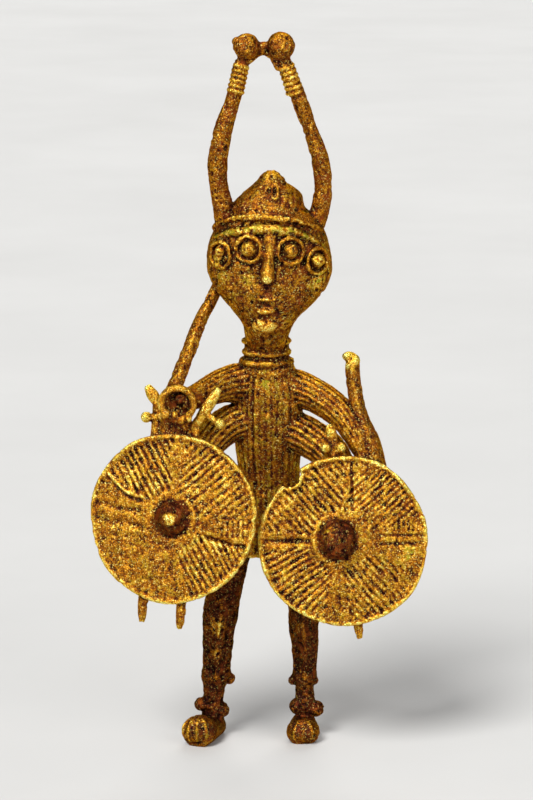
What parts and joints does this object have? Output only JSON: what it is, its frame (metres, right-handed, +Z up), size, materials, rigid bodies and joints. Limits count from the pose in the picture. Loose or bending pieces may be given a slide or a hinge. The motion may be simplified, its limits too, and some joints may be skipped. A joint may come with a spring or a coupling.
{
  "type": "nuragic bronze figure",
  "caption": "Standing bronze votive warrior with long ball-tipped horns, ringed eyes, swords and round carved shields, cast in one piece.",
  "frame": {"origin": "on the ground under the middle of the figure's box", "axes": "+Z up from the soles to the horns; -Y the way the figure faces; +X to the right of someone facing it"},
  "size_m": [0.0872, 0.039, 0.19],
  "materials": {
    "bronze": "rough cast tin bronze with a mottled brown patina and golden worn ridges"
  },
  "bodies": {
    "root": {"bronze_figure": "bronze"}
  },
  "joints": []
}
